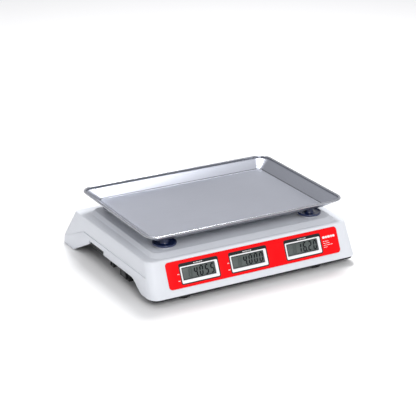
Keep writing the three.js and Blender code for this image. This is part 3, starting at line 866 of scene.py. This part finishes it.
def window_border(x, low):
    """The black line round a window, with the black tag along its top."""
    border = slab(x - WINDOW_HALF - OUTLINE, x + WINDOW_HALF + OUTLINE, low - OUTLINE,
                  low + WINDOW_HEIGHT + TAG_HEIGHT, WINDOW_ROUND + OUTLINE, 0, INK, 5)
    hole = slab(x - WINDOW_HALF, x + WINDOW_HALF, low, low + WINDOW_HEIGHT, WINDOW_ROUND, -1, 1, 4)
    return combine(border, [hole])


def dashes(x, y, widths, height, gap, low):
    """A row of short printed bars that stand for a line of small print."""
    bars = []
    for width in widths:
        bars.append(slab(x, x + width, y, y + height, height * 0.3, low, low + INK, 2))
        x += width + gap
    return bars


def make_print(side, face, windows):
    """The black and white print on a label."""
    borders = []
    marks = []
    for index, x in enumerate(windows["places"]):
        low = windows["low"]
        borders.append(window_border(x, low))
        tag = low + WINDOW_HEIGHT + 1.5
        marks += dashes(x - 8, tag, (2.2, 1.2, 2.8, 1.0, 1.6, 2.4), 1.0, 0.7, INK)
        if index < 2:
            left = x - WINDOW_HALF - 5.6
            marks += dashes(left, low + 4.4, (1.5, 1.0), 1.2, 0.4, 0)
            marks += dashes(left + 0.4, low + 14.2, (1.0, 1.2), 1.2, 0.4, 0)
    if side == "customer":
        marks += dashes(120.4, 35.5, (4.6, 3.4, 4.8, 3.2, 4.0), 3.4, 0.5, 0)
        for line, widths in enumerate(((2.4, 3.6, 2.0), (3.4, 1.6, 4.2), (1.6, 3.0, 5.2, 3.8), (3.0, 2.0))):
            marks += dashes(120.4, 30.8 - 2.9 * line, widths, 0.65, 0.8, 0)
    else:
        for x in (-142, 142):
            marks += dashes(x - 5, 24, (3.4, 2.6, 2.4), 1.4, 0.6, 0)
            marks += dashes(x - 5, 20.6, (2.2, 4.2, 1.8), 1.4, 0.6, 0)
    finish(moved(joined(borders), face), side + "_print_black", LOOKS["black_ink"], "base", "label_red")
    finish(moved(joined(marks), face), side + "_print_white", LOOKS["white_ink"], "base", "label_red")


def make_window(side, number, face, x, low):
    """The white surround, sloping down to the glass behind it."""
    clear = 0.12
    half = WINDOW_HALF - clear
    high = low + WINDOW_HEIGHT - clear
    surround = slab(x - half, x + half, low + clear, high, WINDOW_ROUND, -LABEL_RECESS + 0.02, 0, 5)
    half_x = (GLASS_LEFT + GLASS_RIGHT) / 2
    half_y = GLASS_HEIGHT / 2
    funnel = stack([ring(-3, -half_y, half_y, half_x, 0.8), ring(-LABEL_RECESS, -half_y, half_y, half_x, 0.8),
                    ring(0.4, -half_y - 1.2, half_y + 1.2, half_x + 1.6, 1.8)], 4)
    shifted(funnel, x + (GLASS_RIGHT - GLASS_LEFT) / 2, low + GLASS_RISE + half_y)
    combine(surround, [funnel])
    soften(surround, 0.12, 2, 30)
    finish(moved(surround, face), f"{side}_window_surround_{number}", LOOKS["frame"], "base", "housing_white")


def on_glass(face, marks):
    """Marks drawn at the origin's height, brought up to the glass and joined."""
    seat = face @ Matrix.Translation((0, 0, -GLASS_DEPTH))
    return joined([moved(mark, seat) for mark in marks])


def make_display(side, number, face, x, low, reading):
    """A display: its carrier behind the wall, polished glass in the opening, a black ring of painted shade
    round the glass, and the digits.
    """
    back = -WALL - GAP
    glass = glass_slab(x, low, -GAP, 0.6, back - 1, -GLASS_DEPTH)
    combine(glass, [glass_slab(x, low, 3.2, 0.8, back - 4, back)], "UNION")
    soften(glass, 0.2, 2, 30)
    finish(moved(glass, face), f"{side}_display_glass_{number}", LOOKS["glass"], "base", "display_glass",
           f"{side}_display_{number}")
    # A thin black ring round the edge of the glass: painted shade where the glass sits back in its opening.
    painted_shade_ring = glass_slab(x, low, -0.32, 0.6, -GLASS_DEPTH - 0.1, -GLASS_DEPTH + INK)
    combine(painted_shade_ring, [glass_slab(x, low, -1.1, 0.5, -GLASS_DEPTH - 1, -GLASS_DEPTH + 1)])
    finish(moved(painted_shade_ring, face), f"{side}_display_gasket_{number}", LOOKS["black_ink"], "base",
           "display_glass")
    base_line = low + GLASS_RISE + (GLASS_HEIGHT - DIGIT["height"]) / 2
    spot = x + GLASS_RIGHT - DIGIT["end"]
    lit = []
    for sign in reversed(reading):
        if sign == ".":
            lit.append(point_mark(spot + DIGIT["pitch"] / 2 - POINT / 2, base_line))
            continue
        lit.append(shifted(copy_of(DIGITS[sign]), spot - DIGIT["width"] / 2, base_line))
        spot -= DIGIT["pitch"]
    finish(on_glass(face, lit), f"{side}_digits_{number}", LOOKS["digit"], "base", "display_glass")
    idle = []
    while spot - DIGIT["width"] / 2 > x - GLASS_LEFT + 1:
        idle.append(shifted(copy_of(DIGITS["8"]), spot - DIGIT["width"] / 2, base_line))
        spot -= DIGIT["pitch"]
    finish(on_glass(face, idle), f"{side}_idle_digits_{number}", LOOKS["idle"], "base", "display_glass")


def segment_outline(kind):
    """A pointed bar of a digit, leaning with the digit, from its lower left corner."""
    width = DIGIT["width"]
    height = DIGIT["height"]
    bar = DIGIT["bar"]
    gap = DIGIT["gap"]
    level = {"a": height - bar / 2, "g": height / 2, "d": bar / 2}
    if kind in level:
        y = level[kind]
        left = bar / 2 + gap
        right = width - bar / 2 - gap
        points = [(left, y), (left + bar / 2, y - bar / 2), (right - bar / 2, y - bar / 2), (right, y),
                  (right - bar / 2, y + bar / 2), (left + bar / 2, y + bar / 2)]
    else:
        x = bar / 2 if kind in "ef" else width - bar / 2
        low = bar / 2 + gap if kind in "ec" else height / 2 + gap
        high = height / 2 - gap if kind in "ec" else height - bar / 2 - gap
        points = [(x, low), (x + bar / 2, low + bar / 2), (x + bar / 2, high - bar / 2), (x, high),
                  (x - bar / 2, high - bar / 2), (x - bar / 2, low + bar / 2)]
    return [(x + DIGIT["slant"] * y, y) for x, y in points]


def point_mark(x, y):
    return slab(x - POINT / 2, x + POINT / 2, y, y + POINT, POINT / 3, INK_LOW, INK, 3)


def make_digit(sign):
    return joined([prism(segment_outline(kind), INK_LOW, INK) for kind in SEGMENTS[sign]])


# ------ keys
def make_keys():
    """One key cap, softened and slightly dished, copied to each place with its own legend."""
    half_x = KEY["width"] / 2
    half_y = KEY["height"] / 2
    bottom = -WALL - 0.4
    cap = stack([ring(bottom, -half_y, half_y, half_x, KEY["round"]),
                 ring(KEY["stand"] - 0.9, -half_y, half_y, half_x, KEY["round"]),
                 ring(KEY["stand"] - 0.25, -half_y + 0.3, half_y - 0.3, half_x - 0.3, KEY["round"]),
                 ring(KEY["stand"], -half_y + 0.9, half_y - 0.9, half_x - 0.9, KEY["round"]),
                 ring(KEY["stand"] - 0.25, -half_y + 2.2, half_y - 2.2, half_x - 2.4, KEY["round"] - 0.4)], 5)
    flange = stack([ring(z, -half_y - 1, half_y + 1, half_x + 1, KEY["round"] + 1)
                    for z in (bottom - 1, bottom + 0.1)], 5)
    combine(cap, [flange], "UNION")
    for name, legend, x, y in key_places():
        seat = OPERATOR_FACE @ Matrix.Translation((x, y, 0))
        finish(moved(copy_of(cap), seat), name + "_cap", LOOKS["key"], name + "_cap", "key_grey", name)
        mark = legend_mark(legend)
        top = Matrix.Translation((0, 0, KEY["stand"] - 0.27))
        finish(moved(mark, seat @ top), name + "_legend", LOOKS["black_ink"], name + "_cap", "key_grey")
    discard(cap)


def legend_mark(legend):
    """A printed number or sign, centred on the origin."""
    settle()
    bpy.ops.object.text_add()
    mark = bpy.context.object
    mark.data.body = legend
    mark.data.size = KEY["legend"]
    mark.data.extrude = INK
    mark.data.resolution_u = 3
    mark.data.align_x = "CENTER"
    mark.data.align_y = "CENTER"
    bpy.ops.object.convert(target="MESH")
    mark = bpy.context.object
    bpy.ops.object.mode_set(mode="EDIT")
    bpy.ops.mesh.select_all(action="SELECT")
    bpy.ops.mesh.remove_doubles(threshold=0.005)
    settle()
    return mark


# ------ tray and its supports
def make_tray():
    """The goods tray: a flat sheet with sloping walls and a rolled rim."""
    low, high = box_mm("tray")
    half = (high.x - low.x) / 2
    hem = TRAY["hem"]
    run = TRAY["run"]
    floor = low.z + TRAY["sheet"]

    def outline(z, inset, radius):
        return ring(z, low.y + inset, high.y - inset, half - inset, radius)

    rings = [outline(low.z, run + 2.4, 7), outline(low.z + 0.25, run + 0.9, 7.4),
             outline(low.z + 0.9, run - 0.3, 7.8), outline(high.z - 2.2 * hem, hem + 0.7, 19)]
    for turn in (-30, 0, 30, 60, 90, 120, 150, 180, 205):
        angle = math.radians(turn)
        inset = hem - hem * math.cos(angle)
        rings.append(outline(high.z - hem + hem * math.sin(angle), inset, 20 - inset * 0.6))
    rings += [outline(high.z - 2.1 * hem, 2 * hem - 0.5, 18), outline(floor + 0.75, run + 0.3, 7.2),
              outline(floor + 0.2, run + 1.1, 6.9), outline(floor, run + 1.9, 6.6)]
    tray = stack(rings, 14)
    finish(tray, "goods_tray_sheet", LOOKS["tray"], "goods_tray", "tray_steel", "tray", smooth=60)


def support_cap():
    """A dished cap with a boss, bored from below for the post's pin."""
    low, high = box_mm("support_cap_front_left")
    radius = (high.x - low.x) / 2
    foot = low.z
    rim = foot + CAP["rim"]
    boss = CAP["boss"]
    bore = CAP["bore"]
    socket = [(0, foot + CAP["pin_depth"]), (bore, foot + CAP["pin_depth"]), (bore, foot)]
    edge = [(radius - 1.6, foot), (radius - 0.5, foot + 0.4), (radius, foot + 1.2), (radius, rim - 0.7),
            (radius - 0.3, rim - 0.15), (radius - 0.9, rim), (radius - 1.5, rim - 0.3)]
    dish = [(radius - 2.2, foot + 2.1), (radius - 3.4, foot + 1.7), (boss + 2, foot + 1.6),
            (boss + 0.8, foot + 1.9), (boss + 0.1, foot + 3)]
    top = [(boss, high.z - 1.2), (boss - 0.4, high.z - 0.35), (boss - 1.2, high.z), (0, high.z)]
    return turned(socket + edge + dish + top, 64)


def support_post():
    """A flanged post with a pin that fits the cap."""
    low, high = box_mm("support_post_front_left")
    neck = high.z - 6
    stem = CAP["boss"]
    pin = CAP["bore"] - GAP
    flange = [(0, low.z), (7.6, low.z), (8, low.z + 0.4), (8, low.z + 1.8), (stem, low.z + 2.8)]
    shank = [(stem, neck - 0.4), (stem - 0.4, neck), (pin, neck), (pin, high.z - 0.4), (pin - 0.4, high.z),
             (0, high.z)]
    return turned(flange + shank, 40)


def make_supports():
    """A blue dished cap and a plated post under each corner of the tray."""
    cap = support_cap()
    post = support_post()
    for corner, place in post_places().items():
        dish = shifted(copy_of(cap), place.x, place.y)
        finish(dish, "support_dish_" + corner, LOOKS["blue"], "load_platform", "cap_blue",
               "support_cap_" + corner)
        stem = shifted(copy_of(post), place.x, place.y)
        finish(stem, "support_stem_" + corner, LOOKS["zinc"], "load_platform", "zinc_steel",
               "support_post_" + corner)
    discard(cap, post)


# ------ feet
def foot_tread():
    """A rubber pad with two ribs round its underside."""
    low, high = box_mm("foot_pad_front_left")
    radius = (high.x - low.x) / 2
    ribs = [(0, 0.5), (3, 0.5), (3.6, 0), (6.4, 0), (7, 0.5), (8, 0.5), (8.6, 0)]
    side = [(radius - 0.9, 0), (radius, 0.8), (radius, high.z - 0.5), (radius - 0.5, high.z), (0, high.z)]
    return turned(ribs + side, 48)


def foot_screw():
    """A knurled wheel on a threaded stud."""
    low, high = box_mm("foot_screw_front_left")
    top = low.z + WHEEL["thick"]
    outline = []
    for i in range(WHEEL["knurls"] * 4):
        turn = 2 * math.pi * i / (WHEEL["knurls"] * 4)
        reach = WHEEL["radius"] - 0.5 * (i % 4 == 0) - 0.15 * (i % 4 in (1, 3))
        outline.append((reach * math.cos(turn), reach * math.sin(turn)))
    wheel = soften(prism(outline, low.z, top), 0.35, 2, 60)
    thread = [(0, top - 0.5), (3.5, top - 0.5)]
    z = top
    while z < high.z - 1.6:
        thread += [(WHEEL["root"], z), (WHEEL["thread"], z + 0.55), (WHEEL["thread"], z + 0.7)]
        z += WHEEL["pitch"]
    thread += [(3.3, z), (3.0, high.z - 0.4), (2.6, high.z), (0, high.z)]
    return combine(wheel, [turned(thread, 24)], "UNION")


def make_feet():
    """A ribbed rubber pad and a knurled screw at each corner."""
    pad = foot_tread()
    screw = foot_screw()
    for corner in CORNERS:
        place = centre_mm("foot_pad_" + corner)
        tread = shifted(copy_of(pad), place.x, place.y)
        finish(tread, "foot_pad_rubber_" + corner, LOOKS["rubber"], "levelling_pad_" + corner, "foot_rubber",
               "foot_pad_" + corner)
        wheel = shifted(copy_of(screw), place.x, place.y)
        finish(wheel, "foot_screw_knurled_" + corner, LOOKS["screw"], "levelling_screw_" + corner,
               "foot_screw_black", "foot_screw_" + corner)
    discard(pad, screw)


# ------ switch, level and the inner parts
def make_rocker():
    """The rocker's bent paddle, with its edges rounded more than the fixed parts'."""
    rocker = refined("power_switch_rocker", 0.5, 3)
    finish(rocker, "power_rocker_paddle", LOOKS["switch"], "power_rocker", "rocker_black",
           "power_switch_rocker")


def make_level():
    """A round bubble level: rim, liquid, ring mark and bubble."""
    low, high = box_mm("level_vial")
    radius = LEVEL_RADIUS
    rim = turned([(0, low.z), (radius - 0.4, low.z), (radius, low.z + 0.4), (radius, high.z - 0.5),
                  (radius - 0.5, high.z), (6.6, high.z), (6.2, high.z - 0.4), (6.2, high.z - 1.9),
                  (0, high.z - 1.9)])
    finish(shifted(rim, *LEVEL_AT), "level_rim", LOOKS["white"], "base", "housing_white", "level_vial")
    top = high.z - 0.35
    lens = turned([(0, top - 1.4), (5.9, top - 1.4), (6.1, top - 1.2), (6.1, top - 0.6), (4.4, top - 0.2),
                   (2.2, top - 0.05), (0, top)])
    finish(shifted(lens, *LEVEL_AT), "level_lens", LOOKS["liquid"], "base", "level_fluid")
    section = [(2.6, top + 0.02), (2.9, top + 0.02), (2.9, top + 0.06), (2.6, top + 0.06)]
    mark = turned(section + section[:1])
    finish(shifted(mark, *LEVEL_AT), "level_ring_mark", LOOKS["black_ink"], "base", "level_fluid")
    bubble = turned([(0, top - 0.1), (1.5, top - 0.06), (1.9, top + 0.04), (1.5, top + 0.14),
                     (0, top + 0.2)], 24)
    shifted(bubble, LEVEL_AT[0] + 0.4, LEVEL_AT[1] + 0.3)
    finish(bubble, "level_bubble", LOOKS["frame"], "base", "level_fluid")


def pan_screw():
    """A pan-head screw seen from its head, which points down, with a cross recess."""
    head = turned([(0, 1), (3.4, 1), (3.4, 0.5), (2.8, -0.5), (1.6, -0.95), (0, -1.05)], 28)
    for half_x, half_y in ((1.9, 0.4), (0.4, 1.9)):
        combine(head, [block((-half_x, -half_y, -2), (half_x, half_y, -0.2))])
    return head


def make_pan():
    """The base pan, its cover screws and a blank rating plate underneath."""
    finish(refined("base_pan", 0.4), "base_pan_moulding", LOOKS["pan"], "base", "pan_black", "base_pan")
    low, _ = box_mm("base_pan")
    screw = pan_screw()
    heads = [shifted(copy_of(screw), x, y, low.z + 0.2) for x in (-60, 60) for y in (-128, 20)]
    heads += [shifted(copy_of(screw), x, y, low.z + 0.2) for x in (-58, -44) for y in (-19, -1)]
    discard(screw)
    finish(joined(heads), "pan_screw_heads", LOOKS["zinc"], "base", "zinc_steel")
    plate = slab(-38, 38, -108, -70, 3, low.z - 0.3, low.z - 0.02, 5)
    soften(plate, 0.08, 2, 40)
    finish(plate, "rating_plate_blank", LOOKS["plate"], "base", "zinc_steel")


def make_inner_parts():
    """Parts that keep their CAD shape, softened and finished; most lie behind the covers."""
    inner = (
        ("battery_door", "battery_cover_plate", "pan", "battery_cover", "pan_black"),
        ("battery", "battery_block", "battery", "base", "battery_case"),
        ("load_cell", "load_cell_bar", "alloy", "base", "load_cell_alloy"),
        ("cell_base_spacer", "cell_lower_spacer", "zinc", "base", "zinc_steel"),
        ("cell_top_spacer", "cell_upper_spacer", "zinc", "load_platform", "zinc_steel"),
        ("platform_spider", "platform_spider_plate", "zinc", "load_platform", "zinc_steel"),
        ("power_switch_bezel", "power_switch_frame", "switch", "base", "pan_black"),
        ("power_inlet", "power_inlet_socket", "switch", "base", "pan_black"),
        ("customer_board", "customer_display_board", "board", "base", "circuit_board"),
        ("main_board", "operator_main_board", "board", "base", "circuit_board"),
    )
    for node, name, look, body, slot in inner:
        finish(refined(node), name, LOOKS[look], body, slot, node)


# ------ studio
def area_light(name, place, aim, size, power):
    light = bpy.data.lights.new(name, "AREA")
    light.shape = "DISK"
    light.size = size
    light.energy = power
    lamp = bpy.data.objects.new(name, light)
    bpy.context.scene.collection.objects.link(lamp)
    lamp.location = place
    lamp.rotation_euler = (Vector(aim) - Vector(place)).to_track_quat("-Z", "Y").to_euler()


def make_surround():
    """The room's light: bright overhead and dim near the horizon."""
    world = bpy.data.worlds.new("studio")
    world.use_nodes = True
    nodes = world.node_tree.nodes
    links = world.node_tree.links
    place = nodes.new("ShaderNodeTexCoord")
    split = nodes.new("ShaderNodeSeparateXYZ")
    ramp = nodes.new("ShaderNodeValToRGB")
    links.new(place.outputs["Generated"], split.inputs[0])
    links.new(split.outputs["Z"], ramp.inputs["Fac"])
    links.new(ramp.outputs["Color"], nodes["Background"].inputs["Color"])
    for stop, level in ((0.0, 0.08), (0.25, 0.14), (0.5, 0.45), (0.8, 1.0), (1.0, 1.5)):
        if stop in (0.0, 1.0):
            mark = ramp.color_ramp.elements[int(stop)]
        else:
            mark = ramp.color_ramp.elements.new(stop)
        mark.color = (level, level, level * 1.03, 1)
    nodes["Background"].inputs["Strength"].default_value = 0.7
    bpy.context.scene.world = world


def make_studio():
    """A pale floor, a soft surround, a key light high behind on the right and a wide light in front."""
    settle()
    bpy.ops.mesh.primitive_plane_add(size=16)
    floor = bpy.context.object
    floor.name = "studio_floor"
    look = Look("studio_floor", roughness=0.9, specular_ior_level=0.1)
    look.show((0.88, 0.88, 0.88, 1))
    floor.data.materials.append(look.material)
    make_surround()
    area_light("key", (0.52, 0.72, 1.7), (0, 0, 0.05), 0.6, 26)
    area_light("front", (-0.55, -2.2, 1.45), (0, 0, 0.05), 1.0, 28)
    bpy.context.scene.view_settings.view_transform = "Standard"


def make_camera():
    """A long lens from the customer's left, a little above."""
    azimuth = math.radians(29.29)
    elevation = math.radians(21.22)
    distance = 2.243
    aim = Vector((0.0050, 0.0094, 0.068))
    forward = Vector((math.sin(azimuth) * math.cos(elevation), math.cos(azimuth) * math.cos(elevation),
                      -math.sin(elevation)))
    camera = bpy.data.cameras.new("camera")
    camera.lens = 126.2
    camera.sensor_width = 36
    eye = bpy.data.objects.new("camera", camera)
    bpy.context.scene.collection.objects.link(eye)
    eye.location = aim - distance * forward
    eye.rotation_euler = forward.to_track_quat("-Z", "Y").to_euler()
    bpy.context.scene.camera = eye


# ------ assembly
DIGITS = {sign: make_digit(sign) for sign in SEGMENTS}

make_housing()
for side, face, label, windows in (("customer", CUSTOMER_FACE, CUSTOMER_LABEL, CUSTOMER_WINDOWS),
                                   ("operator", OPERATOR_FACE, OPERATOR_LABEL, OPERATOR_WINDOWS)):
    make_label(side, face, label, windows, list(key_places()) if side == "operator" else ())
    make_print(side, face, windows)
    for number, (x, reading) in enumerate(zip(windows["places"], windows["readings"]), 1):
        make_window(side, number, face, x, windows["low"])
        make_display(side, number, face, x, windows["low"], reading)
discard(*DIGITS.values())
make_keys()
make_tray()
make_supports()
make_feet()
make_rocker()
make_level()
make_pan()
make_inner_parts()
make_studio()
make_camera()
